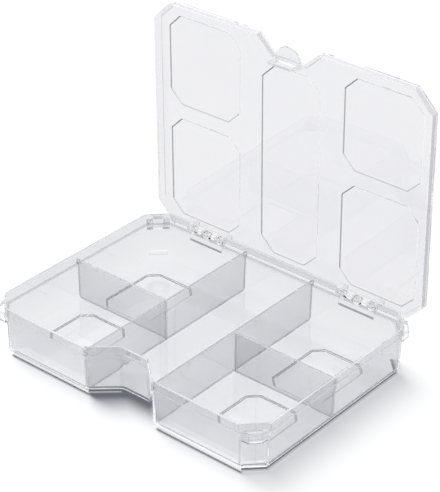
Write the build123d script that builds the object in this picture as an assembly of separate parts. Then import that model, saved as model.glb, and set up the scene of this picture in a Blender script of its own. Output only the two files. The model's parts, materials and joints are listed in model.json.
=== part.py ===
from build123d import *
import os

os.makedirs("parts", exist_ok=True)

# Clear plastic storage box with five compartments, shown with its lid open.
# Millimetres. Origin: centre of the tray's flat base. +X right, +Y to the hinges, +Z up.

# Tray outline and heights
tray_width = 200.0
tray_depth = 147.0
tray_height = 32.0
corner_chamfer = 12.0
notch_mouth = 50.0
notch_back = 19.0
notch_depth = 14.0

# Tray walls: a lower wall with draft, and a wider band around the rim
wall = 1.5
floor_thickness = 1.8
band_height = 8.5
band_height_inside = 6.5
band_step = 1.2
wall_draft = 0.6
base_radius = 4.0
base_radius_inside = 2.5

# Dividers
divider_thickness = 1.4
divider_top_gap = 3.0
long_divider_x = 25.7
cross_divider_y = -2.0

# Recessed floor panels of the four side compartments
panel_width = 36.5
panel_x = 65.0
front_panel_length = 36.5
front_panel_y = -29.0
back_panel_length = 49.0
back_panel_y = 26.0
panel_chamfer = 6.0
panel_recess = 0.7
panel_bevel = 1.3

# Slots low on the corner faces, and lugs high on them
corner_slot_width = 12.0
corner_slot_height = 2.6
corner_slot_z = 3.4
corner_slot_depth = 0.6
lug_width = 15.0
lug_tip_width = 6.0
lug_reach = 3.8
lug_height = 7.0
lug_top_gap = 3.6
lug_edge_radius = 0.8

# Lid
lid_overhang = 0.9
lid_back_overhang = 3.4
lid_height = 6.2
lid_wall = 1.5
lid_front_chamfer = 12.8
lid_back_chamfer = 13.0
lid_notch_mouth = 45.5
lid_notch_back = 19.6
lid_closed_gap = 0.3
lid_open_angle = 88.8

# Embossed lid panels, one above each compartment
lid_panel_emboss = 0.7
lid_panel_bevel = 1.2
lid_side_panel_width = 54.2
lid_side_panel_x = 65.4
lid_side_panel_chamfer = 8.5
lid_front_panel_length = 59.5
lid_front_panel_y = -36.0
lid_back_panel_length = 68.0
lid_back_panel_y = 37.2
lid_middle_panel_width = 42.6
lid_middle_panel_length = 127.5
lid_middle_panel_y = 8.0
lid_middle_panel_chamfer = 9.5

# Hinges
hinge_x = 58.0
hinge_inset = 1.3
hinge_drop = 3.4
pin_radius = 1.25
pin_clearance = 0.05
knuckle_radius = 2.4
knuckle_mouth = 2.0
middle_knuckle_width = 5.2
knuckle_gap = 5.8
outer_knuckle_width = 3.6
ear_thickness = 1.8
ear_radius = 2.3
side_clearance = 0.35
window_clearance = 0.45
seat_pad_width = 25.7
seat_pad_height = 3.7

# Latch
flap_gap = 1.3
flap_thickness = 1.5
flap_drop = 5.5
flap_side_clearance = 0.3
hinge_line_gap = 0.3
latch_window_width = 13.0
latch_window_height = 5.0
latch_bar = 1.4
finger_tab_radius = 9.3
finger_tab_thickness = 1.6
finger_tab_lift = 1.4
catch_width = 11.0
catch_height = 2.6
catch_clearance = 0.4
catch_reach = 1.0
catch_top_reach = 0.3

# Derived places
half_width = tray_width / 2
half_depth = tray_depth / 2
hinge_y = half_depth - hinge_inset
hinge_z = tray_height - hinge_drop
notch_wall_y = notch_depth - half_depth
ledge_z = tray_height - band_height
inner_ledge_z = tray_height - band_height_inside
divider_top_z = tray_height - divider_top_gap
lid_front_y = -half_depth - lid_overhang
lid_back_y = half_depth + lid_back_overhang
lid_edge_z = tray_height + lid_closed_gap
lid_top_z = lid_edge_z + lid_height
plate_z = lid_top_z - lid_wall
flap_inner_y = notch_wall_y - flap_gap
flap_outer_y = flap_inner_y - flap_thickness
lid_notch_depth = flap_outer_y - lid_front_y
flap_half_width = lid_notch_back / 2 - flap_side_clearance
flap_bottom_z = lid_edge_z - flap_drop
window_bottom_z = flap_bottom_z + latch_bar
catch_z = window_bottom_z + catch_clearance
outer_knuckle_offset = middle_knuckle_width / 2 + knuckle_gap + outer_knuckle_width / 2
ear_inner_offset = outer_knuckle_offset + outer_knuckle_width / 2 + side_clearance
ear_outer_offset = ear_inner_offset + ear_thickness
hinge_axis = Axis((0, hinge_y, hinge_z), (1, 0, 0))
sides = {"left": -1, "right": 1}


def box_between(x0, x1, y0, y1, z0, z1):
    centre = ((x0 + x1) / 2, (y0 + y1) / 2, (z0 + z1) / 2)
    return Pos(*centre) * Box(abs(x1 - x0), abs(y1 - y0), abs(z1 - z0))


def outline(half_x, front, back, front_cut, back_cut, mouth, throat, depth, inset, z):
    """Plan of the tray or lid: cut corners and a notch at the front, moved in by inset."""
    points = [
        (-half_x, front + front_cut),
        (-half_x + front_cut, front),
        (-mouth / 2, front),
        (-throat / 2, front + depth),
        (throat / 2, front + depth),
        (mouth / 2, front),
        (half_x - front_cut, front),
        (half_x, front + front_cut),
        (half_x, back - back_cut),
        (half_x - back_cut, back),
        (-half_x + back_cut, back),
        (-half_x, back - back_cut),
    ]
    face = make_face(Polyline(*points, close=True))
    if inset:
        face = offset(face, amount=-inset, kind=Kind.INTERSECTION)
    return Pos(0, 0, z) * face


def tray_outline(inset, z):
    return outline(half_width, -half_depth, half_depth, corner_chamfer, corner_chamfer,
                   notch_mouth, notch_back, notch_depth, inset, z)


def lid_outline(inset, z):
    return outline(half_width + lid_overhang, lid_front_y, lid_back_y, lid_front_chamfer,
                   lid_back_chamfer, lid_notch_mouth, lid_notch_back, lid_notch_depth, inset, z)


def prism(section, height):
    return extrude(section, amount=height, dir=(0, 0, 1))


def edges_at(solid, z):
    return solid.edges().filter_by_position(Axis.Z, z - 0.01, z + 0.01)


def octagon(width, length, cut, inset, z):
    half_x = width / 2 - inset
    half_y = length / 2 - inset
    cut = cut - inset * (2 - 2 ** 0.5)
    points = [
        (-half_x, -half_y + cut),
        (-half_x + cut, -half_y),
        (half_x - cut, -half_y),
        (half_x, -half_y + cut),
        (half_x, half_y - cut),
        (half_x - cut, half_y),
        (-half_x + cut, half_y),
        (-half_x, half_y - cut),
    ]
    return Pos(0, 0, z) * make_face(Polyline(*points, close=True))


def stepped_panel(width, length, cut, bevel, z_wide, z_narrow):
    """Octagonal pad with sloping sides, wide at z_wide and narrower at z_narrow."""
    wide = octagon(width, length, cut, 0, z_wide)
    narrow = octagon(width, length, cut, bevel, z_narrow)
    return loft([wide, narrow], ruled=True)


def tray_cavity():
    """Hollow of the tray: the lower space with rounded floor edges, and the wider rim space."""
    bottom = tray_outline(band_step + wall + wall_draft, floor_thickness)
    top = tray_outline(band_step + wall, inner_ledge_z)
    lower = loft([bottom, top], ruled=True)
    lower = fillet(edges_at(lower, floor_thickness), base_radius_inside)
    rim = prism(tray_outline(wall, inner_ledge_z), tray_height - inner_ledge_z + 1)
    return lower + rim


def corner_frame(x_side, y_side):
    """Place on a corner's slanted outer face at the rim: local +X points outward."""
    x = x_side * (half_width - corner_chamfer / 2)
    y = y_side * (half_depth - corner_chamfer / 2)
    angle = {(1, 1): 45, (-1, 1): 135, (-1, -1): 225, (1, -1): 315}[(x_side, y_side)]
    return Pos(x, y, 0) * Rot(0, 0, angle)


def tray_block():
    """Outside of the tray as a full block: drafted walls, rounded base edges and the rim band."""
    bottom = tray_outline(band_step + wall_draft, 0)
    top = tray_outline(band_step, ledge_z)
    body = loft([bottom, top], ruled=True)
    body = fillet(edges_at(body, 0), base_radius)
    return body + prism(tray_outline(0, ledge_z), band_height)


def make_tray_shell(block, cavity):
    body = block
    for side in sides.values():
        x = side * hinge_x
        body = body + box_between(x - seat_pad_width / 2, x + seat_pad_width / 2,
                                  half_depth - band_step - wall, half_depth,
                                  ledge_z - seat_pad_height, ledge_z)
    body = body - cavity
    for side in sides.values():
        x = side * hinge_x
        reach = ear_outer_offset + window_clearance
        body = body - box_between(x - reach, x + reach, hinge_y - 5, half_depth + 1,
                                  inner_ledge_z, tray_height + 1)
    for y, length in ((front_panel_y, front_panel_length), (back_panel_y, back_panel_length)):
        recess = stepped_panel(panel_width, length, panel_chamfer, panel_bevel,
                               floor_thickness, floor_thickness - panel_recess)
        for side in sides.values():
            body = body - Pos(side * panel_x, y, 0) * recess
    face_inset = band_step + wall_draft * (1 - corner_slot_z / ledge_z)
    for x_side in (-1, 1):
        for y_side in (-1, 1):
            slot = box_between(-face_inset - corner_slot_depth, 1, -corner_slot_width / 2,
                               corner_slot_width / 2, corner_slot_z, corner_slot_z + corner_slot_height)
            body = body - corner_frame(x_side, y_side) * slot
    return body


def make_long_divider(side, cavity):
    x = side * long_divider_x
    slab = box_between(x - divider_thickness / 2, x + divider_thickness / 2,
                       -half_depth, half_depth, floor_thickness, divider_top_z)
    return slab & cavity


def make_cross_divider(side, cavity):
    inner = long_divider_x + divider_thickness / 2
    slab = box_between(side * inner, side * half_width, cross_divider_y - divider_thickness / 2,
                       cross_divider_y + divider_thickness / 2, floor_thickness, divider_top_z)
    return slab & cavity


def make_corner_lug(x_side, y_side, block):
    """Finger lug on a corner face: it laps the rim band and a little of the wall below."""
    top = tray_height - lug_top_gap
    root = -band_step - wall_draft
    plan = [
        (root, -lug_width / 2),
        (0, -lug_width / 2),
        (lug_reach, -lug_tip_width / 2),
        (lug_reach, lug_tip_width / 2),
        (0, lug_width / 2),
        (root, lug_width / 2),
    ]
    lug = prism(Pos(0, 0, top - lug_height) * make_face(Polyline(*plan, close=True)), lug_height)
    lug = fillet(lug.edges().filter_by_position(Axis.X, lug_reach - 0.01, lug_reach + 0.01), lug_edge_radius)
    return corner_frame(x_side, y_side) * lug - block


def make_knuckle(x, width):
    """Open-topped hinge seat that the lid's pin snaps into, standing on the rim's inner ledge."""
    foot = box_between(x - width / 2, x + width / 2, half_depth - band_step - wall, half_depth,
                       inner_ledge_z, hinge_z)
    barrel = Pos(x, hinge_y, hinge_z) * Rot(0, 90, 0) * Cylinder(knuckle_radius, width)
    bore = Pos(x, hinge_y, hinge_z) * Rot(0, 90, 0) * Cylinder(pin_radius + pin_clearance, width + 1)
    mouth = box_between(x - width, x + width, hinge_y - knuckle_mouth / 2, hinge_y + knuckle_mouth / 2,
                        hinge_z, hinge_z + knuckle_radius + 1)
    return foot + barrel - bore - mouth


def make_latch_catch():
    """Small wedge on the notch wall, which the latch window snaps over."""
    profile = [
        (notch_wall_y, catch_z),
        (notch_wall_y - catch_reach, catch_z),
        (notch_wall_y - catch_top_reach, catch_z + catch_height),
        (notch_wall_y, catch_z + catch_height),
    ]
    section = Plane.YZ * make_face(Polyline(*profile, close=True))
    return extrude(section, amount=catch_width / 2, both=True)


def make_lid_shell():
    """Shallow lid, modelled closed: plate, skirt and five embossed panels."""
    body = prism(lid_outline(0, lid_edge_z), lid_height)
    body = body - prism(lid_outline(lid_wall, lid_edge_z - 1), plate_z - lid_edge_z + 1)
    panels = [(0, lid_middle_panel_y, lid_middle_panel_width, lid_middle_panel_length,
               lid_middle_panel_chamfer)]
    for side in sides.values():
        x = side * lid_side_panel_x
        panels.append((x, lid_front_panel_y, lid_side_panel_width, lid_front_panel_length,
                       lid_side_panel_chamfer))
        panels.append((x, lid_back_panel_y, lid_side_panel_width, lid_back_panel_length,
                       lid_side_panel_chamfer))
    for x, y, width, length, cut in panels:
        raised = stepped_panel(width, length, cut, lid_panel_bevel, lid_top_z, lid_top_z + lid_panel_emboss)
        hollow = stepped_panel(width, length, cut, lid_panel_bevel, plate_z, plate_z + lid_panel_emboss)
        body = body + Pos(x, y, 0) * raised - Pos(x, y, 0) * hollow
    slot_half = flap_half_width + flap_side_clearance
    return body - box_between(-slot_half, slot_half, flap_outer_y - 1, flap_inner_y + hinge_line_gap,
                              lid_edge_z - 1, lid_top_z + 1)


def make_hinge_ear(x_start):
    """Arm from the lid's back skirt to the hinge line, modelled closed."""
    boss = Pos(x_start + ear_thickness / 2, hinge_y, hinge_z) * Rot(0, 90, 0) * Cylinder(
        ear_radius, ear_thickness)
    skirt_y = lid_back_y - lid_wall
    profile = [
        (hinge_y - ear_radius, hinge_z),
        (hinge_y + ear_radius * 0.7, hinge_z - ear_radius * 0.7),
        (skirt_y, lid_edge_z),
        (skirt_y, plate_z),
        (hinge_y - 0.5, plate_z),
        (hinge_y - ear_radius, plate_z - 2.5),
    ]
    arm = extrude(Plane.YZ.offset(x_start) * make_face(Polyline(*profile, close=True)), amount=ear_thickness)
    hole = Pos(x_start + ear_thickness / 2, hinge_y, hinge_z) * Rot(0, 90, 0) * Cylinder(
        pin_radius, ear_thickness + 1)
    return arm + boss - hole


def make_hinge_pin(x):
    return Pos(x, hinge_y, hinge_z) * Rot(0, 90, 0) * Cylinder(pin_radius, 2 * ear_outer_offset)


def make_latch_flap():
    flap = box_between(-flap_half_width, flap_half_width, flap_outer_y, flap_inner_y,
                       flap_bottom_z, lid_top_z)
    window = box_between(-latch_window_width / 2, latch_window_width / 2, flap_outer_y - 1,
                         flap_inner_y + 1, window_bottom_z, window_bottom_z + latch_window_height)
    return flap - window


def make_finger_tab():
    """Half-round tab that a thumb lifts to free the latch."""
    z = lid_edge_z + finger_tab_lift
    disc = Pos(0, flap_outer_y, z) * Circle(finger_tab_radius)
    front = Pos(0, flap_outer_y - finger_tab_radius, z) * Rectangle(
        4 * finger_tab_radius, 2 * finger_tab_radius)
    return prism(disc & front, finger_tab_thickness)


def opened(shape):
    """Turn a piece of the closed lid to the open rest pose."""
    return shape.rotate(hinge_axis, -lid_open_angle)


def build():
    block = tray_block()
    cavity = tray_cavity()
    pieces = {"tray_shell": make_tray_shell(block, cavity)}
    for name, side in sides.items():
        pieces["long_divider_" + name] = make_long_divider(side, cavity)
        pieces["cross_divider_" + name] = make_cross_divider(side, cavity)
        for place, y_side in (("front", -1), ("back", 1)):
            pieces["corner_lug_" + place + "_" + name] = make_corner_lug(side, y_side, block)
        x = side * hinge_x
        widths = (outer_knuckle_width, middle_knuckle_width, outer_knuckle_width)
        for number, (step, width) in enumerate(zip((-1, 0, 1), widths), 1):
            pieces[f"hinge_knuckle_{name}_{number}"] = make_knuckle(x + step * outer_knuckle_offset, width)
        pieces[f"hinge_ear_{name}_1"] = opened(make_hinge_ear(x - ear_outer_offset))
        pieces[f"hinge_ear_{name}_2"] = opened(make_hinge_ear(x + ear_inner_offset))
        pieces["hinge_pin_" + name] = opened(make_hinge_pin(x))
    pieces["latch_catch"] = make_latch_catch()
    pieces["lid_shell"] = opened(make_lid_shell())
    pieces["latch_flap"] = opened(make_latch_flap())
    pieces["finger_tab"] = opened(make_finger_tab())
    return pieces


for name, piece in build().items():
    export_step(piece, "parts/" + name + ".step")
    print(name, round(piece.volume, 1))
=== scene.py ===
# %% [markdown]
# # A clear compartment box
# The object is a flat box for beads and small parts: a tray with four dividers and a lid that stands
# open on two snap hinges, both moulded in clear, glossy plastic. The frame holds the engineering parts
# at their real size, and this file builds what the eye sees around them. All lengths are in metres.

import json
import math

import bmesh
import bpy
import numpy as np
from mathutils import Matrix, Vector


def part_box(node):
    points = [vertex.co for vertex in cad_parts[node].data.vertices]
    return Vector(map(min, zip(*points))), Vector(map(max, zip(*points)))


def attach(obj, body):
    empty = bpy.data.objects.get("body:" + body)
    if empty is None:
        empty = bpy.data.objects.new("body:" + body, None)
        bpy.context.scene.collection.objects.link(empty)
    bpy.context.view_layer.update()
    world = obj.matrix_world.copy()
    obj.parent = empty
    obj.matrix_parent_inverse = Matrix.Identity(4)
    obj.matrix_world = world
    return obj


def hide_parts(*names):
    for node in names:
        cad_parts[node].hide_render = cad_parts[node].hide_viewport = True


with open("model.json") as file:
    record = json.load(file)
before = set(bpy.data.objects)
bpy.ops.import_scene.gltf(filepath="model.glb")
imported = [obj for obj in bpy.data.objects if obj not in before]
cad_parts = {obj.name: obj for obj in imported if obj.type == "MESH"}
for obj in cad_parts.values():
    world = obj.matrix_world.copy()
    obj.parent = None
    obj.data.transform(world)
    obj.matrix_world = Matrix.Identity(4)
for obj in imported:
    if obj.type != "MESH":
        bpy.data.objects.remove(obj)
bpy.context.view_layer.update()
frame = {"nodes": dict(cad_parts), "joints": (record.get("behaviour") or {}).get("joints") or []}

# %% [markdown]
# ## Sizes
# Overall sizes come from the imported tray, and the hinge line from its joint, so the looks always
# follow the engineering model. Wall thicknesses and ledges are written once here, as on a drawing of
# the mould. The lid is built closed, flat above the tray, because a mould is drawn that way, and it is
# turned open about the hinge line at the end.

# %% Sizes of the tray
mm = 0.001
tray_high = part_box("tray_shell")[1]
half_width = tray_high.x
half_depth = tray_high.y
rim_z = tray_high.z
wall = 1.5 * mm
floor_thickness = 1.8 * mm
band_height = 8.5 * mm
band_height_inside = 6.5 * mm
band_step = 1.2 * mm
wall_draft = 0.6 * mm
base_radius = 4.0 * mm
base_radius_inside = 2.5 * mm
corner_cut = 12.0 * mm
notch_mouth = 50.0 * mm
notch_throat = 19.0 * mm
notch_depth = 14.0 * mm
ledge_z = rim_z - band_height
inner_ledge_z = rim_z - band_height_inside
print("tray", half_width, half_depth, rim_z)

# %% Sizes of the lid
lid_overhang = 0.9 * mm
lid_back_overhang = 3.4 * mm
lid_height = 6.2 * mm
lid_wall = 1.5 * mm
lid_front_cut = 12.8 * mm
lid_back_cut = 13.0 * mm
lid_mouth = 45.5 * mm
lid_throat = 19.6 * mm
lid_edge_z = rim_z + 0.3 * mm
lid_top_z = lid_edge_z + lid_height
plate_z = lid_top_z - lid_wall
flap_inner_y = notch_depth - half_depth - 1.3 * mm
flap_outer_y = flap_inner_y - 1.5 * mm
lid_front_y = -half_depth - lid_overhang
lid_back_y = half_depth + lid_back_overhang
joints = {joint["name"]: joint for joint in frame["joints"]}
hinge_at = Vector(joints["lid_hinge"]["pos_m"])
open_angle = math.radians(joints["lid_hinge"]["range_deg"][1])
lamp_from = Vector((-0.86, 0.30, 1.0)).normalized()
print("hinge line at", list(hinge_at), "open by", joints["lid_hinge"]["range_deg"][1], "degrees")

# %% [markdown]
# ## Rounded outlines
# Nothing that comes out of a mould has a knife edge, and on clear plastic it is the small radii that
# draw the object: each one bends the light and shows as a fine dark or bright line. Most of these
# lines are also painted onto the narrow faces of the radii further down, as painted shade and painted
# highlights. An outline could be drawn as a curve object, but here it is worked out with numpy, because
# the same few lines then give every ring of a wall, each moved in by its own distance and with its own
# corner radii.

# %% Rounded outlines


def turned_left(v):
    """Each plane vector turned a quarter turn to the left."""
    return np.stack((-v[..., 1], v[..., 0]), -1)


def unit(v):
    """Each vector divided by its length."""
    return v / np.maximum(np.linalg.norm(v, axis=-1, keepdims=True), 1e-12)


def corner_ways(corners):
    """The directions in which the outline comes into and leaves each corner."""
    into = unit(corners - np.roll(corners, 1, -2))
    return into, np.roll(into, -1, -2)


def corner_turns(corners):
    """The angle turned at each corner, positive to the left: atan2 of the cross and dot products."""
    into, leave = corner_ways(corners)
    cross = into[..., 0] * leave[..., 1] - into[..., 1] * leave[..., 0]
    return np.arctan2(cross, (into * leave).sum(-1))


def moved_in(corners, inset):
    """An outline that runs anticlockwise, moved in: each corner slides along its mitre, the sum of the
    two inward normals over one plus their dot product, times the inset."""
    into, leave = corner_ways(corners)
    a, b = turned_left(into), turned_left(leave)
    mitre = (a + b) / (1 + (a * b).sum(-1, keepdims=True))
    return corners + mitre * np.asarray(inset)[..., None, None]


def rounded(corners, radii, steps):
    """Each corner becomes an arc. It starts its radius times tan(half the turn) before the corner, and
    its points are the centre plus the start arm turned by equal shares of the corner's turn."""
    into, _ = corner_ways(corners)
    turn = corner_turns(corners)
    start = corners - into * (radii * np.tan(np.abs(turn) / 2))[..., None]
    arm = -turned_left(into) * (radii * np.sign(turn))[..., None]
    share = turn[..., None] * np.linspace(0, 1, steps + 1)
    across, along = np.cos(share)[..., None], np.sin(share)[..., None]
    swung = arm[..., None, :] * across + turned_left(arm)[..., None, :] * along
    points = (start - arm)[..., None, :] + swung
    return points.reshape(*points.shape[:-3], -1, 2)


least_radius = 0.15 * mm


def rings(corners, radii, insets, steps=6):
    """The outline once for every inset: outward corners lose the inset from their radius and inward
    corners gain it, as parallel curves do."""
    insets = np.asarray(insets, float)
    moved = moved_in(np.broadcast_to(corners, (len(insets), *corners.shape)), insets)
    side = np.sign(corner_turns(corners))
    return rounded(moved, np.maximum(radii - side * insets[:, None], least_radius), steps)


def rounded_profile(points, radii, steps=4):
    """An open line of (inset, height) points with its inner corners rounded and doubled points left
    out."""
    points, radii = np.array(points, float), np.array(radii, float)
    line = rounded(points, radii, steps)
    line = np.vstack((points[:1], line[steps + 1:-steps - 1], points[-1:]))
    kept = np.r_[True, np.linalg.norm(np.diff(line, axis=0), axis=1) > 1e-8]
    return line[kept]


# %% [markdown]
# ## From rings to solids
# A wall is its section carried round its outline: a grid of points with one row for each point of the
# section. Two caps close it, so that it is a real solid, which clear material needs: light has to find
# the face by which it leaves the plastic. Local features, such as recesses and windows, are cut or
# added with Blender's exact boolean, as a mould maker would sink them into the block.

# %% From rings to solids


def new_object(name, mesh):
    """Puts a mesh into the scene under its name."""
    obj = bpy.data.objects.new(name, mesh)
    bpy.context.scene.collection.objects.link(obj)
    return obj


def grid_mesh(name, grid):
    """A closed mesh from rows of points: quads join neighbours, and the first and last row are caps."""
    rows, across = grid.shape[:2]
    index = np.arange(rows * across).reshape(rows, across)
    a, b = index[:-1], np.roll(index[:-1], -1, 1)
    c, d = np.roll(index[1:], -1, 1), index[1:]
    faces = np.stack((a, b, c, d), -1).reshape(-1, 4).tolist()
    faces += [index[0, ::-1].tolist(), index[-1].tolist()]
    mesh = bpy.data.meshes.new(name)
    mesh.from_pydata(grid.reshape(-1, 3).tolist(), [], faces)
    return mesh


def swept(name, corners, radii, profile, steps=6):
    """A solid whose section, a line of (inset, height), goes round an outline."""
    flat = rings(corners, radii, profile[:, 0], steps)
    heights = np.broadcast_to(profile[:, 1][:, None, None], (*flat.shape[:2], 1))
    return new_object(name, grid_mesh(name, np.concatenate((flat, heights), -1)))


def baked(obj):
    """Makes the modifiers' result the object's own mesh."""
    mesh = bpy.data.meshes.new_from_object(obj.evaluated_get(bpy.context.evaluated_depsgraph_get()))
    obj.modifiers.clear()
    obj.data = mesh
    return obj


def combined(obj, others, operation):
    """Cuts other solids out of obj, or adds them to it, and removes them."""
    for other in others:
        step = obj.modifiers.new(other.name, "BOOLEAN")
        step.operation = operation
        step.solver = "EXACT"
        step.object = other
    baked(obj)
    for other in others:
        bpy.data.objects.remove(other)
    return obj


def block(name, x, y, z):
    """A plain block, used only to cut or add a local feature: between two values along x and y, and with
    a ring at each height z."""
    corners = np.array([(x[0], y[0]), (x[1], y[0]), (x[1], y[1]), (x[0], y[1])], float)
    profile = np.array([(0, height) for height in z], float)
    return swept(name, corners, np.full(4, 0.05 * mm), profile, 1)


facet_turn = math.radians(24)


def face_values(obj, name, values=None):
    """Writes one number for each face into an attribute, or reads the attribute."""
    if values is None:
        values = np.empty(len(obj.data.polygons))
        obj.data.attributes[name].data.foreach_get("value", values)
        return values
    attribute = obj.data.attributes.get(name) or obj.data.attributes.new(name, "FLOAT", "FACE")
    attribute.data.foreach_set("value", np.asarray(values, float))
    return values


def face_places(obj):
    """The centre and the normal of every face."""
    polygons = obj.data.polygons
    centres, normals = np.empty(len(polygons) * 3), np.empty(len(polygons) * 3)
    polygons.foreach_get("center", centres)
    polygons.foreach_get("normal", normals)
    return centres.reshape(-1, 3), normals.reshape(-1, 3)


def nowhere(centres, normals):
    """No line is seen from inside the plastic."""
    return np.zeros(len(centres))


def everywhere(centres, normals):
    """Every line is seen from inside the plastic too."""
    return np.ones(len(centres))


def marked(obj, rule, through=nowhere):
    """Paints thin lines of light and shade onto faces: the rule gets the faces' centres, normals and
    which of them are rounded strips, and gives a number for each, from 1, a dark line of painted shade,
    through 0, plain, to -1, clearer than plain, a painted highlight. The second rule says how much of
    a line is seen from inside the plastic too."""
    centres, normals = face_places(obj)
    face_values(obj, "line", rule(centres, normals, face_values(obj, "strip") > 0.5))
    face_values(obj, "through", through(centres, normals))
    return obj


nearly_flat = 0.995
all_dark = 2.0
lee_shade = 0.62
notch_foot_shade = 2.2
throat_shade = 1.9
notch_shade = 1.1
soft_line_shade = 0.65
line_z = 0.8 * mm
soft_line_z = 1.2 * mm
front_line_z = (1.2 * mm, 2.7 * mm)
front_facing = -0.85
strip_top = 7.0 * mm


def outside_shade(obj):
    """Marks the tray's outer walls by how much lamp light they take away low down: only walls that face
    away from the lamp do, and those of the notch the most, because light would have to pass along them.
    A thin stripe of the rounded base edge takes away all of it, which draws the line where the box
    meets the table. On walls that face the front the stripe lies a little higher."""
    centres, normals = face_places(obj)
    away = (centres[:, :2] * normals[:, :2]).sum(1) > 0
    lee = np.maximum(-normals[:, :2] @ np.array(lamp_from)[:2], 0)
    wall_faces = away & (lee > 0) & (normals[:, 2] < 0.1) & (normals[:, 2] > -nearly_flat)
    in_front = centres[:, 1] < 0
    in_notch = (np.abs(centres[:, 0]) < notch_mouth / 2) & in_front
    in_throat = (np.abs(centres[:, 0]) < notch_throat / 2) & in_front
    z = centres[:, 2]
    shade = np.select([in_notch & (z < strip_top), in_throat, in_notch],
                      [notch_foot_shade, throat_shade, notch_shade], lee_shade * np.sqrt(lee))
    to_front = unit(normals[:, :2])[:, 1] < front_facing
    line = np.where(to_front, (z > front_line_z[0]) & (z < front_line_z[1]), z < line_z)
    soft_line = ~to_front & (z > line_z) & (z < soft_line_z)
    face_values(obj, "outside", wall_faces * np.select([line, soft_line], [all_dark, soft_line_shade],
                                                       shade))


def softened(obj, radius, segments=4):
    """Rounds what turns by more than any facet of a curve does, and notes which faces are the rounded
    strips by the second of two empty material slots. Then it weights normals by face size, so that
    flats stay flat."""
    for _ in range(2):
        obj.data.materials.append(None)
    step = obj.modifiers.new("edge radius", "BEVEL")
    step.width = radius
    step.segments = segments
    step.limit_method = "ANGLE"
    step.angle_limit = facet_turn
    step.harden_normals = False
    step.material = 1
    baked(obj)
    strips = np.empty(len(obj.data.polygons), np.int32)
    obj.data.polygons.foreach_get("material_index", strips)
    face_values(obj, "strip", strips)
    obj.data.polygons.foreach_set("material_index", np.zeros_like(strips))
    obj.data.shade_smooth()
    obj.data.set_sharp_from_angle(angle=facet_turn)
    step = obj.modifiers.new("flat faces", "WEIGHTED_NORMAL")
    step.keep_sharp = True
    baked(obj)
    return obj


def closed_check(obj):
    """Counts open edges, which clear material must not have, and measures the volume in cm3."""
    bm = bmesh.new()
    bm.from_mesh(obj.data)
    loose = sum(not edge.is_manifold for edge in bm.edges)
    volume = bm.calc_volume()
    bm.free()
    return loose, round(volume * 1e6, 2)


# %% [markdown]
# ## Clear moulded plastic
# Clear plastic is glass to a renderer: light bends on its way in and out, a little is mirrored at each
# face, and a little is soaked up. A plain glass material looks like a computer drawing, so a shared
# node group adds what a mould leaves: faint flow streaks in the tint, and a surface that is
# not quite even, with fine scuffs. The same group also paints light and shade into the tint: a
# painted change of shade towards the foot, thin dark lines of painted shade on marked faces, and
# painted highlights where faces are marked the other way. Rays from lamps and soft daylight pass
# straight through, by a mix with a Transparent shader, because the bent light on a table is lost in
# its softness anyway and would only add noise.

# %% Clear moulded plastic


def add_node(tree, kind, links=(), **values):
    """Adds a node and sets its properties. Each pair in links names an input and gives what feeds it,
    another node's output or a plain value."""
    node = tree.nodes.new(kind)
    for name, value in values.items():
        setattr(node, name, value)
    for name, source in links:
        if isinstance(source, bpy.types.NodeSocket):
            tree.links.new(source, node.inputs[name])
        else:
            node.inputs[name].default_value = source
    return node


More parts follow.
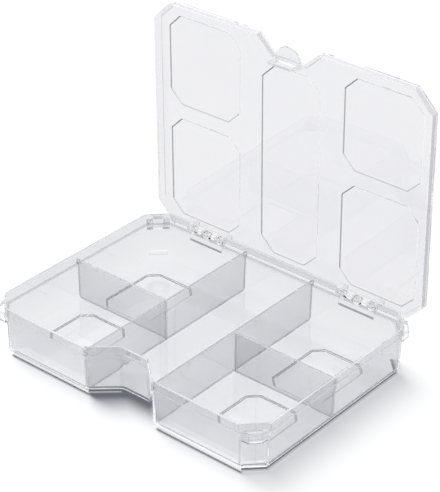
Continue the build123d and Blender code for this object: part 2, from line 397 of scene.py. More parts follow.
def mould_marks_and_painted_shade():
    """The shared group. Streaks are noise stretched along one direction, scuffs are the thin ridges of
    a second noise, and the height is a slow noise for the slightly wavy surface. The rest is painted
    light and shade: the tint goes from clear to the foot colour downwards, a painted change of shade
    towards the foot, to the line colour, painted shade, where a face is marked above 0, and to the
    painted highlight colour where it is marked below 0."""
    tree = bpy.data.node_groups.new("mould marks and painted shade", "ShaderNodeTree")
    face = tree.interface
    for name, kind, value in (("Clear Colour", "NodeSocketColor", (1, 1, 1, 1)),
                              ("Streak Colour", "NodeSocketColor", (0.9, 0.9, 0.9, 1)),
                              ("Foot Colour", "NodeSocketColor", (0.8, 0.8, 0.8, 1)),
                              ("Line Colour", "NodeSocketColor", (0.2, 0.2, 0.2, 1)),
                              ("Painted Highlight Colour", "NodeSocketColor", (1, 1, 1, 1)),
                              ("Foot Height", "NodeSocketFloat", 0.03),
                              ("Line", "NodeSocketFloat", 0.0),
                              ("Scuffs", "NodeSocketFloat", 0.05)):
        face.new_socket(name=name, in_out="INPUT", socket_type=kind).default_value = value
    for name, kind in (("Colour", "NodeSocketColor"), ("Roughness", "NodeSocketFloat"),
                       ("Height", "NodeSocketFloat")):
        face.new_socket(name=name, in_out="OUTPUT", socket_type=kind)
    inside, outside = tree.nodes.new("NodeGroupInput"), tree.nodes.new("NodeGroupOutput")
    place = add_node(tree, "ShaderNodeTexCoord").outputs["Object"]
    stretch = add_node(tree, "ShaderNodeMapping", [("Vector", place), ("Scale", (18, 60, 25))])
    flow = add_node(tree, "ShaderNodeTexNoise", [("Vector", stretch.outputs[0]), ("Scale", 1.0),
                                                 ("Detail", 3.0), ("Roughness", 0.55)])
    streak = add_node(tree, "ShaderNodeMapRange", [("Value", flow.outputs["Fac"]), ("From Min", 0.35),
                                                   ("From Max", 0.75)])
    up = add_node(tree, "ShaderNodeSeparateXYZ", [(0, place)]).outputs["Z"]
    low = add_node(tree, "ShaderNodeMapRange", [
        ("Value", up), ("From Min", inside.outputs["Foot Height"]), ("From Max", 0.0)])
    tint = inside.outputs["Clear Colour"]
    line = inside.outputs["Line"]
    clearer = add_node(tree, "ShaderNodeMath", [(0, line), (1, -1.0)], operation="MULTIPLY").outputs[0]
    for share, colour in ((streak.outputs["Result"], "Streak Colour"),
                          (low.outputs["Result"], "Foot Colour"),
                          (line, "Line Colour"), (clearer, "Painted Highlight Colour")):
        step = add_node(tree, "ShaderNodeMix", [(0, share), (6, tint), (7, inside.outputs[colour])],
                        data_type="RGBA")
        tint = step.outputs[2]
    tree.links.new(tint, outside.inputs["Colour"])
    fine = add_node(tree, "ShaderNodeTexNoise", [("Vector", place), ("Scale", 220.0), ("Detail", 2.0)])
    ridge = add_node(tree, "ShaderNodeMapRange", [("Value", fine.outputs["Fac"]), ("From Min", 0.62),
                                                  ("From Max", 0.72)])
    rough = add_node(tree, "ShaderNodeMath", [(0, ridge.outputs["Result"]),
                                              (1, inside.outputs["Scuffs"])], operation="MULTIPLY")
    tree.links.new(rough.outputs[0], outside.inputs["Roughness"])
    wavy = add_node(tree, "ShaderNodeTexNoise", [("Vector", place), ("Scale", 28.0), ("Detail", 1.0)])
    tree.links.new(wavy.outputs["Fac"], outside.inputs["Height"])
    return tree


marks = mould_marks_and_painted_shade()
plastic_ior = 1.49
deepest_ray = 14
foot_height = 32 * mm
surface_wave = 0.04


def clear_plastic(name, colours, scuffs, lamp_colour, lamp_foot_colour):
    """A glass-like Principled material. Its colours are those of the clear plastic, its streaks, its
    painted foot tint and its marked lines of painted shade. Lamps, diffuse light and rays that have met
    very many faces take the Transparent side of the mix, where lamp light that comes in near the foot
    is dimmed by the attribute "outside". A marked line shows where light comes in from the air, and on
    its way out of the plastic only by the share of the attribute "through"."""
    mat = bpy.data.materials.new(name)
    mat.use_nodes = True
    tree = mat.node_tree
    shader = tree.nodes["Principled BSDF"]
    shader.inputs["Transmission Weight"].default_value = 1.0
    shader.inputs["IOR"].default_value = plastic_ior
    line = add_node(tree, "ShaderNodeAttribute", attribute_name="line").outputs["Fac"]
    behind = add_node(tree, "ShaderNodeNewGeometry").outputs["Backfacing"]
    through = add_node(tree, "ShaderNodeAttribute", attribute_name="through").outputs["Fac"]
    front = add_node(tree, "ShaderNodeMapRange", [("Value", behind), ("To Min", 1.0),
                                                  ("To Max", through)])
    facing = add_node(tree, "ShaderNodeMapRange", [("Value", behind), ("To Min", 1.0), ("To Max", 0.0)])
    seen = add_node(tree, "ShaderNodeMath", [(0, line), (1, front.outputs["Result"])],
                    operation="MULTIPLY")
    effect = add_node(tree, "ShaderNodeGroup", node_tree=marks)
    for part, colour in zip(("Clear", "Streak", "Foot", "Line"), colours):
        effect.inputs[part + " Colour"].default_value = (*colour, 1)
    effect.inputs["Foot Height"].default_value = foot_height
    effect.inputs["Scuffs"].default_value = scuffs
    tree.links.new(seen.outputs[0], effect.inputs["Line"])
    tree.links.new(effect.outputs["Colour"], shader.inputs["Base Color"])
    tree.links.new(effect.outputs["Roughness"], shader.inputs["Roughness"])
    bump = add_node(tree, "ShaderNodeBump", [("Height", effect.outputs["Height"]),
                                             ("Strength", surface_wave), ("Distance", 1.0 * mm)])
    tree.links.new(bump.outputs["Normal"], shader.inputs["Normal"])
    path = add_node(tree, "ShaderNodeLightPath")
    lamps = add_node(tree, "ShaderNodeMath", [(0, path.outputs["Is Shadow Ray"]),
                                              (1, path.outputs["Is Diffuse Ray"])], operation="MAXIMUM")
    deep = add_node(tree, "ShaderNodeMath", [(0, path.outputs["Ray Depth"]), (1, deepest_ray)],
                    operation="GREATER_THAN")
    straight = add_node(tree, "ShaderNodeMath", [(0, lamps.outputs[0]), (1, deep.outputs[0])],
                        operation="MAXIMUM")
    outside = add_node(tree, "ShaderNodeAttribute", attribute_name="outside").outputs["Fac"]
    entered = add_node(tree, "ShaderNodeMath", [(0, outside), (1, facing.outputs["Result"])],
                       operation="MULTIPLY")
    place = add_node(tree, "ShaderNodeTexCoord").outputs["Object"]
    up = add_node(tree, "ShaderNodeSeparateXYZ", [(0, place)]).outputs["Z"]
    low = add_node(tree, "ShaderNodeMapRange", [("Value", up), ("From Min", foot_height),
                                                ("From Max", 0.0)])
    foot = add_node(tree, "ShaderNodeMath", [(0, entered.outputs[0]), (1, low.outputs["Result"])],
                    operation="MULTIPLY", use_clamp=True)
    shade = add_node(tree, "ShaderNodeMix", [(0, foot.outputs[0]), (6, (*lamp_colour, 1)),
                                             (7, (*lamp_foot_colour, 1))], data_type="RGBA")
    clear = add_node(tree, "ShaderNodeBsdfTransparent", [("Color", shade.outputs[2])])
    mix = add_node(tree, "ShaderNodeMixShader", [(0, straight.outputs[0]), (1, shader.outputs[0]),
                                                 (2, clear.outputs[0])])
    tree.links.new(mix.outputs[0], tree.nodes["Material Output"].inputs["Surface"])
    return mat


# Painted light and shade in these tints: the tray's foot colour is lighter than its clear colour, so its
# floor and lower walls are painted lighter, while the dividers' foot colour is darker, painted shade
# towards their foot, and the fittings' and hinges' a little darker. Each line colour is the painted
# shade of the marked lines.
tray_plastic = clear_plastic(
    "clear tray", ((0.755, 0.76, 0.775), (0.74, 0.75, 0.765), (0.825, 0.83, 0.84), (0.05, 0.055, 0.06)),
    scuffs=0.03, lamp_colour=(0.98, 0.98, 0.985), lamp_foot_colour=(0.03, 0.04, 0.07))
divider_plastic = clear_plastic(
    "clear divider",
    ((0.805, 0.81, 0.82), (0.775, 0.78, 0.79), (0.70, 0.71, 0.725), (0.06, 0.065, 0.07)),
    scuffs=0.03, lamp_colour=(0.98, 0.98, 0.985), lamp_foot_colour=(0.98, 0.98, 0.985))
lid_plastic = clear_plastic(
    "clear lid", ((0.82, 0.817, 0.835), (0.81, 0.808, 0.828), (0.82, 0.817, 0.835), (0.05, 0.05, 0.055)),
    scuffs=0.03, lamp_colour=(0.99, 0.99, 0.99), lamp_foot_colour=(0.99, 0.99, 0.99))
fitting_plastic = clear_plastic(
    "clear fittings", ((0.84, 0.84, 0.85), (0.8, 0.805, 0.82), (0.82, 0.82, 0.83), (0.15, 0.16, 0.17)),
    scuffs=0.08, lamp_colour=(0.97, 0.97, 0.975), lamp_foot_colour=(0.97, 0.97, 0.975))
hinge_plastic = clear_plastic(
    "clear hinges", ((0.94, 0.94, 0.945), (0.91, 0.912, 0.92), (0.93, 0.93, 0.935), (0.3, 0.31, 0.32)),
    scuffs=0.08, lamp_colour=(0.97, 0.97, 0.975), lamp_foot_colour=(0.97, 0.97, 0.975))
print("materials", [m.name for m in bpy.data.materials])
small_part_share = 0.25


def strip_lines(centres, normals, strips):
    """On small parts every rounded strip shows as a faint line of painted shade."""
    return strips * small_part_share


def dressed(obj, mat, body, slot, *nodes):
    """Gives a finished piece its material and body, and hides the engineering nodes it stands for."""
    obj.data.materials.clear()
    obj.data.materials.append(mat)
    # A piece without lines of its own gets faint lines of painted shade on its rounded strips.
    if "line" not in obj.data.attributes:
        marked(obj, strip_lines)
    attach(obj, body)
    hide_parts(*nodes)
    print(obj.name, len(obj.data.polygons), "faces, open edges and cm3", closed_check(obj))
    return obj


# %% [markdown]
# ## Tray shell
# The tray is one wall that runs round twelve sides: four cut corners and a notch for the fingers at
# the front. Its section is carried round the outline: a rounded base edge, a wall with a little draft
# so that it leaves the mould, a wider band at the rim with a ledge inside and outside, and a rounded
# lip. The four recessed octagons in the floor, the slots low on the corners and the cut-outs over the
# hinges are sunk into it afterwards.

# %% Tray shell


def box_corners(half_x, front, back, front_cut, back_cut, mouth, throat, depth):
    """The twelve corners of the tray or lid in plan, anticlockwise from the notch's right lip."""
    right = [(throat / 2, front + depth), (mouth / 2, front), (half_x - front_cut, front),
             (half_x, front + front_cut), (half_x, back - back_cut), (half_x - back_cut, back)]
    left = [(-x, y) for x, y in reversed(right)]
    return np.array(right + left)


tray_corners = box_corners(half_width, -half_depth, half_depth, corner_cut, corner_cut, notch_mouth,
                           notch_throat, notch_depth)
tray_radii = np.full(12, 3.8 * mm)
foot = band_step + wall_draft
foot_border = 6.0 * mm
strip_share = 1 - strip_top / ledge_z
inner_share = 1 - (strip_top - floor_thickness) / (inner_ledge_z - floor_thickness)
tray_section = rounded_profile(
    [(foot + base_radius + foot_border, 0), (foot, 0), (band_step + wall_draft * strip_share, strip_top),
     (band_step, ledge_z), (0, ledge_z), (0, rim_z),
     (wall, rim_z), (wall, inner_ledge_z), (band_step + wall, inner_ledge_z),
     (band_step + wall + wall_draft * inner_share, strip_top),
     (band_step + wall + wall_draft, floor_thickness),
     (band_step + wall + wall_draft + base_radius_inside + foot_border, floor_thickness)],
    [0, base_radius, 0, 0.5 * mm, 0.4 * mm, 0.55 * mm, 0.55 * mm, 0.4 * mm, 0.5 * mm, 0,
     base_radius_inside, 0], 6)


def octagon(width, length, cut, x, y):
    """An octagon in plan, anticlockwise, centred at x, y."""
    hx, hy = width / 2, length / 2
    corners = [(hx - cut, -hy), (hx, -hy + cut), (hx, hy - cut), (hx - cut, hy), (-hx + cut, hy),
               (-hx, hy - cut), (-hx, -hy + cut), (-hx + cut, -hy)]
    return np.array(corners) + (x, y)


def stepped_pad(name, corners, radius, levels):
    """A pad with sloping sides, from (inset, height) levels given from bottom to top."""
    return swept(name, corners, np.full(len(corners), radius), np.array(levels, float), 5)


def sloping(inset_1, z_1, inset_2, z_2, shares=(0, 0.3, 0.7, 1)):
    """Levels along a slope, with a ring at each share of it, so that its two rims can be marked."""
    return [(inset_1 + share * (inset_2 - inset_1), z_1 + share * (z_2 - z_1)) for share in shares]


slope_middle = 0.18


def rim_of(height, low, high, width):
    """True where a height lies near the bottom or the top of a slope, but not in its middle."""
    off_middle = np.abs(height - (low + high) / 2) > slope_middle * (high - low)
    return (height > low - width) & (height < high + width) & off_middle


panel_depth = 0.7 * mm
panel_slope = 1.3 * mm
recess_width = 36.5 * mm
recess_cut = 6.0 * mm
recess_radius = 2.0 * mm
recess_x = 65.0 * mm
recess_levels = sloping(panel_slope, floor_thickness - panel_depth, 0, floor_thickness)
recess_levels.append((0, floor_thickness + 1 * mm))
recesses = []
for side in (-1, 1):
    for length, y in ((36.5 * mm, -29.0 * mm), (49.0 * mm, 26.0 * mm)):
        plan = octagon(recess_width, length, recess_cut, side * recess_x, y)
        recesses.append(stepped_pad("recess", plan, recess_radius, recess_levels))

slot_z = (3.4 * mm, 6.0 * mm)
slot_half = 6.0 * mm
slot_depth = 0.6 * mm


def corner_cutter(x_side, y_side):
    """A slot cutter, turned onto a cut corner's lower face."""
    mid = np.array([x_side * (half_width - corner_cut / 2), y_side * (half_depth - corner_cut / 2)])
    outward = unit(np.array([x_side, y_side], float))
    along = turned_left(outward)
    face = band_step + wall_draft * (1 - slot_z[0] / ledge_z)
    near, far = mid - outward * (face + slot_depth), mid + outward * 1 * mm
    corners = np.array([near - along * slot_half, far - along * slot_half, far + along * slot_half,
                        near + along * slot_half])
    return swept("slot", corners, np.full(4, 0.05 * mm), np.array([(0, slot_z[0]), (0, slot_z[1])]), 1)


hinge_x = 58.0 * mm
window_half = 14.6 * mm
windows = [block("window", (side * hinge_x - window_half, side * hinge_x + window_half),
                 (hinge_at.y - 5 * mm, half_depth + 1 * mm), (inner_ledge_z, rim_z + 1 * mm))
           for side in (-1, 1)]
seat_half = 12.85 * mm
seat_low = ledge_z - 3.7 * mm
seat_line = 1.0 * mm
seats = [block("seat", (side * hinge_x - seat_half, side * hinge_x + seat_half),
               (half_depth - band_step - 1 * mm, half_depth),
               (seat_low, seat_low + seat_line, ledge_z + 0.5 * mm))
         for side in (-1, 1)]
slots = [corner_cutter(x_side, y_side) for x_side in (-1, 1) for y_side in (-1, 1)]
tray = swept("tray", tray_corners, tray_radii, tray_section)
combined(tray, seats, "UNION")
combined(tray, recesses + slots + windows, "DIFFERENCE")
softened(tray, radius=0.25 * mm)
wall_ways = -turned_left(corner_ways(tray_corners)[0])
base_fade = (1.6 * mm, 3.6 * mm)
sloped = (0.5, 0.99)
downward = -0.05
upright = 0.3
level = 0.98
arc_turn = 0.004
end_reach = 0.2
recess_share = 0.9
slope_share = 0.6
ledge_share = 0.45
seat_share = 0.9
end_share = 1.0
throat_share = 0.15
notch_share = 0.6
corner_share = 0.3
front_slot_share = 0.8
back_slot_share = 0.25
left_strip_share = 0.4


def on_seat_line(centres, normals):
    """The lowest stripe on the outside of each hinge seat."""
    beside = np.abs(np.abs(centres[:, 0]) - hinge_x) < seat_half + 0.1 * mm
    return beside & (normals[:, 1] > 0.8) & (centres[:, 1] > half_depth - 0.3 * mm) & (
        centres[:, 2] > seat_low) & (centres[:, 2] < seat_low + seat_line)


def tray_lines(centres, normals, strips):
    """The tray's thin lines of painted shade: the rounded base edge where it faces down and out, the
    sloping sides of the floor's recesses, the ledge under the rim, the rims of the slots, the rounded
    corners of the wall and the foot of the hinge seats. Of the corners, those at the front left and the
    back right end show the most, and those of the notch's throat the least, and the front slots more
    than the back ones. The foot of the front wall, most on the right, is painted clearer than the rest:
    a painted highlight for light that has run along the floor and comes out there."""
    x, y, z, tilt = *centres.T, normals[:, 2]
    on_slope = (tilt > sloped[0]) & (tilt < sloped[1])
    base = np.interp(z, base_fade, (1.0, 0.0)) * ((tilt < downward) & (tilt > -nearly_flat))
    recess = rim_of(z, floor_thickness - panel_depth, floor_thickness, 0.05 * mm) & on_slope
    ledge = (np.abs(z - inner_ledge_z) < 0.6 * mm) & (tilt > 0.1)
    away = (centres[:, :2] * normals[:, :2]).sum(1) > 0
    turned = np.min([np.abs(unit(normals[:, :2]) @ way - 1) for way in wall_ways], 0) > arc_turn
    corner = away & turned & (np.abs(tilt) < upright) & (z < ledge_z) & (z > 1 * mm)
    slot = strips & (z > slot_z[0] - 0.5 * mm) & (z < slot_z[1] + 0.5 * mm)
    slope = (z > floor_thickness - panel_depth) & (z < floor_thickness) & on_slope & ~recess
    ends = np.abs(x - y * half_width / half_depth) < end_reach * half_width
    in_notch = (np.abs(x) < notch_mouth / 2) & (y < 0)
    in_throat = in_notch & (y > notch_depth / 2 - half_depth)
    corner = corner * np.select([ends, in_throat, in_notch], [end_share, throat_share, notch_share],
                                corner_share)
    front = (y < corner_cut - half_depth) & (np.abs(x) > notch_mouth / 2)
    painted_foot_highlight = front & (z < strip_top) & ~slot & (corner == 0)
    painted_foot_highlight = painted_foot_highlight * np.where((x > 0) | (tilt > level), 1.0,
                                       left_strip_share * (tilt > downward))
    slot = slot * np.where(y < 0, front_slot_share, back_slot_share)
    seat = on_seat_line(centres, normals) * seat_share
    return (base * (painted_foot_highlight < 1) + recess * recess_share + slope * slope_share + ledge * ledge_share
            + slot + corner + seat - painted_foot_highlight)


def tray_through(centres, normals):
    """On the tray only the lines of the hinge seats are seen from inside the plastic."""
    return on_seat_line(centres, normals) * 1.0


# Paints the tray's lines of shade, its highlight at the front foot, and the lamp shade of its outer
# walls.
marked(tray, tray_lines, tray_through)
outside_shade(tray)
dressed(tray, tray_plastic, "tray", "clear_tray", "tray_shell")

# %% [markdown]
# ## Pieces that follow their engineering node
# The dividers, hinge knuckles, lugs and the catch are small plain shapes whose fit matters more than
# their form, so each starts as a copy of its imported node. The copy is welded, its flat faces are made
# whole again, it is drawn in by a hair so that two clear solids never share a face, and its edges get
# their radius.

# %% Dividers


contact_gap = 0.02 * mm
large_side = 0.25


def eased_copy(node, name, radius, frame_width=0.0):
    """A node's mesh as one clean solid: scaled about its middle so that each side draws in by the
    contact gap, then rounded along its sharp edges. Large side faces may get a frame of narrow faces
    along their rim."""
    bm = bmesh.new()
    bm.from_mesh(frame["nodes"][node].data)
    bmesh.ops.remove_doubles(bm, verts=bm.verts, dist=1e-6)
    bmesh.ops.dissolve_limit(bm, angle_limit=math.radians(1.0), verts=bm.verts, edges=bm.edges)
    if frame_width:
        least = large_side * max(face.calc_area() for face in bm.faces)
        sides = [face for face in bm.faces if face.calc_area() > least and abs(face.normal.z) < 0.5]
        bmesh.ops.inset_individual(bm, faces=sides, thickness=frame_width, use_even_offset=True)
    mesh = bpy.data.meshes.new(name)
    bm.to_mesh(mesh)
    bm.free()
    points = np.empty(len(mesh.vertices) * 3)
    mesh.vertices.foreach_get("co", points)
    points = points.reshape(-1, 3)
    low, high = points.min(0), points.max(0)
    points = (low + high) / 2 + (points - (low + high) / 2) * (1 - 2 * contact_gap / (high - low))
    mesh.vertices.foreach_set("co", points.ravel())
    return softened(new_object(name, mesh), radius)


divider_frame = 1.2 * mm
divider_end = 2.2 * divider_frame
divider_top = 1 * mm
divider_share = 0.35


def divider_lines(centres, normals, strips):
    """A divider's painted shade: thin dark lines at its foot and ends, as a frame along the rim of its
    side faces, but not its top.
    """
    low, high = centres.min(0), centres.max(0)
    edge = np.minimum(centres - low, high - centres)
    run = 0 if high[0] - low[0] > high[1] - low[1] else 1
    near = (edge[:, run] < divider_end) | (centres[:, 2] - low[2] < divider_frame)
    return near * (centres[:, 2] < high[2] - divider_top) * divider_share


for side in ("left", "right"):
    for kind in ("long", "cross"):
        node = f"{kind}_divider_{side}"
        piece = eased_copy(node, f"{kind}_wall_{side}", radius=0.3 * mm, frame_width=divider_frame)
        marked(piece, divider_lines, everywhere)
        dressed(piece, divider_plastic, "tray", "clear_tray", node)

# %% Lugs, knuckles and catch


lug_plastic = clear_plastic(
    "clear lugs", ((0.97, 0.97, 0.975), (0.96, 0.96, 0.965), (0.97, 0.97, 0.975), (0.1, 0.11, 0.12)),
    scuffs=0.03, lamp_colour=(0.98, 0.98, 0.985), lamp_foot_colour=(0.98, 0.98, 0.985))
small_frame = 0.7 * mm
lug_rim = 1.1 * mm
back_lug_share = 0.4
knuckle_rim = 0.9 * mm
knuckle_share = 0.2


def lug_lines(centres, normals, strips):
    """Only the bottom rim shows on a lug, as a dark line of painted shade, and more on the front lugs.
    """
    rim = centres[:, 2] < centres[:, 2].min() + lug_rim
    return rim * np.where(centres[:, 1] < 0, 1.0, back_lug_share)


def knuckle_lines(centres, normals, strips):
    """A knuckle's foot shows as a short faint line of painted shade."""
    return (centres[:, 2] < centres[:, 2].min() + knuckle_rim) * knuckle_share


for side in ("left", "right"):
    for place in ("front", "back"):
        node = f"corner_lug_{place}_{side}"
        lug = eased_copy(node, f"lug_{place}_{side}", radius=0.3 * mm, frame_width=small_frame)
        marked(lug, lug_lines)
        dressed(lug, lug_plastic, "tray", "clear_tray", node)
    for number in (1, 2, 3):
        node = f"hinge_knuckle_{side}_{number}"
        knuckle = eased_copy(node, f"knuckle_{side}_{number}", radius=0.2 * mm,
                             frame_width=small_frame)
        marked(knuckle, knuckle_lines)
        dressed(knuckle, hinge_plastic, "tray", "clear_tray", node)
dressed(eased_copy("latch_catch", "catch", radius=0.15 * mm), fitting_plastic, "tray", "clear_tray",
        "latch_catch")

# %% [markdown]
# ## Lid
# The lid is a shallow pan with five raised octagonal panels, one over each compartment. It is drawn
# closed: the section starts at the middle of the underside, runs down the inside of the skirt, round
# its lip and up the outside to the top. The panels stand out of the plate and are hollow behind, so the
# plate keeps one thickness all over, as a moulded part should.

# %% Lid
lid_corners = box_corners(half_width + lid_overhang, lid_front_y, lid_back_y, lid_front_cut,
                          lid_back_cut, lid_mouth, lid_throat, flap_outer_y - lid_front_y)
lid_radii = np.full(12, 2.0 * mm)
lid_section = rounded_profile(
    [(lid_wall + 3 * mm, plate_z), (lid_wall, plate_z), (lid_wall, lid_edge_z), (0, lid_edge_z),
     (0, lid_top_z), (3 * mm, lid_top_z)],
    [0, 0.8 * mm, 0.4 * mm, 0.4 * mm, 1.2 * mm, 0], 6)
emboss = 0.7 * mm
emboss_slope = 1.2 * mm
side_panel_width = 54.2 * mm
side_panel_x = 65.4 * mm
side_panel_cut = 8.5 * mm
panel_plans = [octagon(42.6 * mm, 127.5 * mm, 9.5 * mm, 0, 8.0 * mm)]
for side in (-1, 1):
    for length, y in ((59.5 * mm, -36.0 * mm), (68.0 * mm, 37.2 * mm)):
        panel_plans.append(octagon(side_panel_width, length, side_panel_cut, side * side_panel_x, y))
panel_radius = 2.0 * mm
panel_root = 0.2 * mm
lid_shares = (0, 0.55, 1)
skirt_share = 0.45


def raised_panel(plan):
    """What a panel adds above the plate."""
    return stepped_pad("raised", plan, panel_radius, [(0, lid_top_z - panel_root)] + sloping(
        0, lid_top_z, emboss_slope, lid_top_z + emboss, lid_shares))


def panel_hollow(plan):
    """What is hollow below a panel."""
    return stepped_pad("hollow", plan, panel_radius, [(0, plate_z - panel_root)] + sloping(
        0, plate_z, emboss_slope, plate_z + emboss, lid_shares))


def opened(obj):
    """Turns a piece drawn closed to the open pose: a plain rotation about the hinge line."""
    turn = Matrix.Rotation(-open_angle, 4, "X")
    obj.data.transform(Matrix.Translation(hinge_at) @ turn @ Matrix.Translation(-hinge_at))
    return obj


latch_root_gap = 0.3 * mm
lid = swept("lid", lid_corners, lid_radii, lid_section)
combined(lid, [raised_panel(plan) for plan in panel_plans], "UNION")
cuts = [panel_hollow(plan) for plan in panel_plans]
cuts.append(block("latch gap", (-lid_throat / 2, lid_throat / 2),
                  (flap_outer_y - 1 * mm, flap_inner_y + latch_root_gap),
                  (lid_edge_z - 1 * mm, lid_top_z + 1 * mm)))
combined(lid, cuts, "DIFFERENCE")
softened(lid, radius=0.25 * mm)
foot_limit = 0.45 * emboss
foot_share = 0.5
foot_share_left = 0.35
foot_share_corner = 0.8
skirt_facing = 0.9


def lid_lines(centres, normals, strips):
    """The lid's lines of painted shade: the foot of each raised panel's hollow and, outside, of the
    panel itself, darker or lighter by the way it faces in plan, as light from one side falls, and the
    skirt's two short sides. The other rounded strips are painted clearer, as painted highlights."""
    z, tilt = centres[:, 2], np.abs(normals[:, 2])
    inner = np.abs(z - plate_z - foot_limit / 2) < foot_limit
    outer = np.abs(z - lid_top_z - foot_limit / 2) < foot_limit
    outward = unit(normals[:, :2]) * np.where(inner, -1.0, 1.0)[:, None]
    share = foot_share - foot_share_left * outward[:, 0] + (
        foot_share_corner * outward[:, 0] * outward[:, 1])
    foot = (inner | outer) & (tilt > 0.8) & (tilt < 0.99) & (z > lid_edge_z + 1 * mm)
    skirt = (normals[:, 0] * np.sign(centres[:, 0]) > skirt_facing) & (
        np.abs(centres[:, 0]) > half_width)
    return foot * share + skirt * skirt_share - (strips & ~skirt & ~foot)


marked(lid, lid_lines)
opened(lid)
dressed(lid, lid_plastic, "lid", "clear_lid", "lid_shell")

# %% Hinge ears and pins
for side in ("left", "right"):
    for number in (1, 2):
        node = f"hinge_ear_{side}_{number}"
        dressed(eased_copy(node, f"ear_{side}_{number}", radius=0.2 * mm), hinge_plastic, "lid",
                "clear_lid", node)
    node = f"hinge_pin_{side}"
    dressed(eased_copy(node, f"pin_{side}", radius=0.15 * mm), hinge_plastic, "lid", "clear_lid", node)

# %% [markdown]
# ## Latch
# The latch is a small flap with a window, which snaps over the catch on the tray, and a half-round tab
# for the thumb. Both move together when the thin root flexes.

# %% Latch
dressed(eased_copy("latch_flap", "flap", radius=0.3 * mm), fitting_plastic, "latch", "clear_lid",
        "latch_flap")
dressed(eased_copy("finger_tab", "thumb_tab", radius=0.4 * mm), fitting_plastic, "latch", "clear_lid",
        "finger_tab")

# %% [markdown]
# ## Floor, light and camera
# The box stands on a plain white table under one large soft lamp from the left. The sky is white near
# the horizon and a little grey above, because clear plastic only shows its edges when some of what they
# bend towards the eye is darker than the background. One soft bright patch behind the box is mirrored
# in its flat faces. Neither the sky nor the patch lights the table: the lamp alone does, and its light
# is dimmed by the marks on the tray's outer walls, so the shadow stays soft and clean.

# %% Floor
floor_size = 12.0
floor_drop = 0.2 * mm
floor_mesh = bpy.data.meshes.new("table")
reach = floor_size / 2
floor_mesh.from_pydata([(-reach, -reach, -floor_drop), (reach, -reach, -floor_drop),
                        (reach, reach, -floor_drop), (-reach, reach, -floor_drop)], [], [(0, 1, 2, 3)])
table = new_object("table", floor_mesh)
table_material = bpy.data.materials.new("white table")
table_material.use_nodes = True
tree = table_material.node_tree
shader = tree.nodes["Principled BSDF"]
shader.inputs["Base Color"].default_value = (0.93, 0.935, 0.945, 1)
shader.inputs["Roughness"].default_value = 1.0
shader.inputs["Specular IOR Level"].default_value = 0.0
path = add_node(tree, "ShaderNodeLightPath")
seen = add_node(tree, "ShaderNodeMath", [(0, path.outputs["Is Camera Ray"]),
                                         (1, path.outputs["Is Glossy Ray"])], operation="MAXIMUM")
seen = add_node(tree, "ShaderNodeMath", [(0, seen.outputs[0]), (1, path.outputs["Is Transmission Ray"])],
                operation="MAXIMUM")
table_glow = 0.12
glow = add_node(tree, "ShaderNodeMath", [(0, seen.outputs[0]), (1, table_glow)], operation="MULTIPLY")
shader.inputs["Emission Color"].default_value = (1, 1, 1, 1)
tree.links.new(glow.outputs[0], shader.inputs["Emission Strength"])
floor_mesh.materials.append(table_material)
print("table", floor_size, "m wide")

# %% Sky
world = bpy.data.worlds.new("studio")
bpy.context.scene.world = world
world.use_nodes = True
sky = world.node_tree
way = add_node(sky, "ShaderNodeTexCoord").outputs["Generated"]
height = add_node(sky, "ShaderNodeSeparateXYZ", [(0, way)]).outputs["Z"]
fade = add_node(sky, "ShaderNodeMapRange", [("Value", height), ("From Min", 0.05), ("From Max", 0.45),
                                            ("To Min", 1.0), ("To Max", 0.85)],
                interpolation_type="SMOOTHSTEP")


def window(towards, inner, outer, strength):
    """A soft round patch of light in the sky: full inside the inner angle and gone at the outer one,
    by the cosine between the ray and the patch's middle."""
    middle = Vector(towards).normalized()
    near = add_node(sky, "ShaderNodeVectorMath", [(0, way), (1, middle)], operation="DOT_PRODUCT")
    return add_node(sky, "ShaderNodeMapRange", [
        ("Value", near.outputs["Value"]), ("From Min", math.cos(math.radians(outer))),
        ("From Max", math.cos(math.radians(inner))), ("To Max", strength)],
        interpolation_type="SMOOTHSTEP").outputs["Result"]


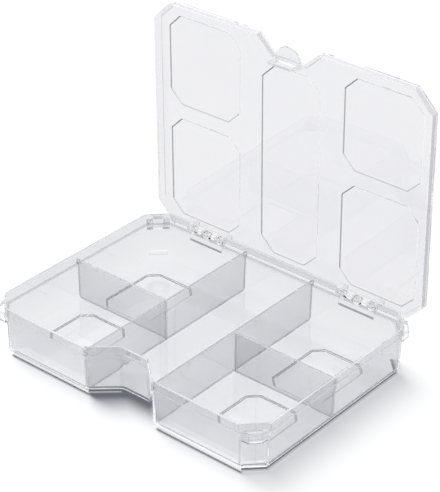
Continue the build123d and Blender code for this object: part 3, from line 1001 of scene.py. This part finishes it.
patch = window(towards=(-0.55, 0.66, 0.51), inner=12, outer=32, strength=0.7)
light = add_node(sky, "ShaderNodeMath", [(0, fade.outputs["Result"]), (1, patch)])
path = add_node(sky, "ShaderNodeLightPath")
seen = add_node(sky, "ShaderNodeMix", [("Factor", path.outputs["Is Camera Ray"])])
sky.links.new(light.outputs[0], seen.inputs[2])
seen.inputs[3].default_value = 1.0
sky.links.new(seen.outputs[0], sky.nodes["Background"].inputs["Strength"])
sky.nodes["Background"].inputs["Color"].default_value = (1, 1, 1, 1)
world.cycles_visibility.diffuse = False
world.cycles.sampling_method = "NONE"
print("sky nodes", len(sky.nodes))

# %% Lamp
key = bpy.data.lights.new("key", "SUN")
key.angle = math.radians(30)
key.energy = math.pi / lamp_from.z
holder = new_object("key", key)
holder.rotation_euler = lamp_from.to_track_quat("Z", "Y").to_euler()
holder.visible_glossy = False
holder.visible_transmission = False
print("lamp height", round(math.degrees(math.asin(lamp_from.z)), 1), "degrees")

# %% Camera
azimuth = math.radians(39.65)
elevation = math.radians(30.68)
roll = math.radians(0.53)
distance = 1.23677
look_at = Vector((-0.07304, 0.10368, 0.0))
focal_pixels = 1919.56
image_width = 440
back = Vector((math.sin(azimuth) * math.cos(elevation), -math.cos(azimuth) * math.cos(elevation),
               math.sin(elevation)))
level_right = Vector((math.cos(azimuth), math.sin(azimuth), 0))
level_up = back.cross(level_right)
right = level_right * math.cos(roll) + level_up * math.sin(roll)
up = level_up * math.cos(roll) - level_right * math.sin(roll)
lens = bpy.data.cameras.new("camera")
lens.sensor_fit = "HORIZONTAL"
lens.sensor_width = 36.0
lens.lens = focal_pixels * lens.sensor_width / image_width
lens.clip_end = 50.0
camera = new_object("camera", lens)
camera.matrix_world = Matrix((right, up, back)).transposed().to_4x4()
camera.location = look_at + back * distance
bpy.context.scene.camera = camera
print("camera at", [round(v, 4) for v in camera.location], "lens", round(lens.lens, 2))

# %% Picture settings
scene = bpy.context.scene
scene.view_settings.view_transform = "Standard"
scene.cycles.use_adaptive_sampling = False
most_bounces = 96
scene.cycles.max_bounces = most_bounces
scene.cycles.transmission_bounces = most_bounces
scene.cycles.glossy_bounces = most_bounces
scene.cycles.transparent_max_bounces = most_bounces
print("bounces", most_bounces)
